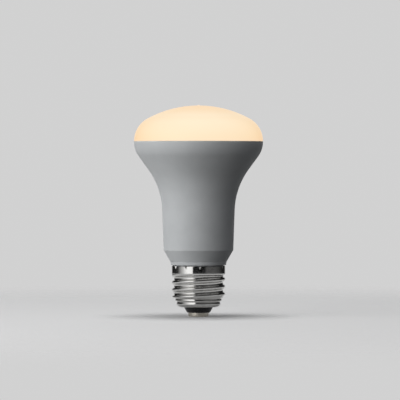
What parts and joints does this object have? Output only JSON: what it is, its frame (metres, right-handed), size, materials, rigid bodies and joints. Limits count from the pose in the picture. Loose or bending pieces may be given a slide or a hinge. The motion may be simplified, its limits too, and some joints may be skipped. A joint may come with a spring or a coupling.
{
  "type": "reflector bulb",
  "caption": "LED reflector bulb with a milky domed front, a flared white housing and a nickel-plated screw cap.",
  "frame": {"origin": "on the lamp axis, in the plane where the screw shell meets the housing", "axes": "+Z along the lamp axis towards the dome, so the cap points down; +X and +Y across the lamp, with a stake of the cap near -Y"},
  "size_m": [0.063, 0.063, 0.1034],
  "materials": {
    "diffuser": "milky, lit from inside",
    "housing": "fine satin",
    "cap_metal": "bright nickel plate",
    "insulator": "black moulded",
    "contact_metal": "nickel-plated brass"
  },
  "bodies": {
    "root": {"diffuser_dome": "diffuser", "housing": "housing", "screw_shell": "cap_metal", "cap_insulator": "insulator", "centre_contact": "contact_metal"}
  },
  "joints": []
}
